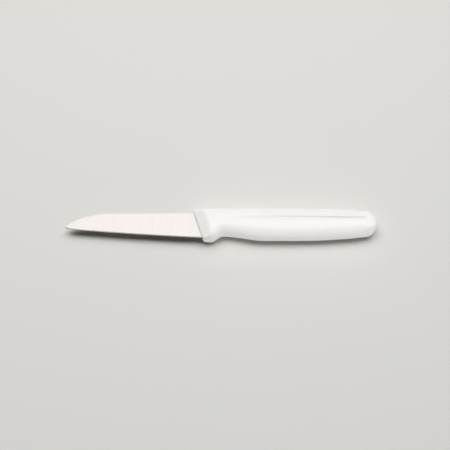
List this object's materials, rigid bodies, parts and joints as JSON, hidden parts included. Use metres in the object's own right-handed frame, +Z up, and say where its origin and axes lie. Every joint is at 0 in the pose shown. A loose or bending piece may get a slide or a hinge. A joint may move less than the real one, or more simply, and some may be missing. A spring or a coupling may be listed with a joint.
{
  "type": "paring knife",
  "caption": "Small kitchen knife with a short straight-backed blade, a drop tip and a moulded white handle with a finger notch.",
  "frame": {"origin": "centre of the base of the overall box, on the surface that the knife lies on", "axes": "+X along the knife from the tip to the butt, +Y from the cutting edge to the spine, +Z up through the thickness"},
  "size_m": [0.1864, 0.0198, 0.013],
  "materials": {
    "blade_steel": "fine ground and polished stainless steel",
    "handle_plastic": "satin moulded white polypropylene"
  },
  "bodies": {
    "root": {"blade": "blade_steel", "handle": "handle_plastic"}
  },
  "joints": []
}
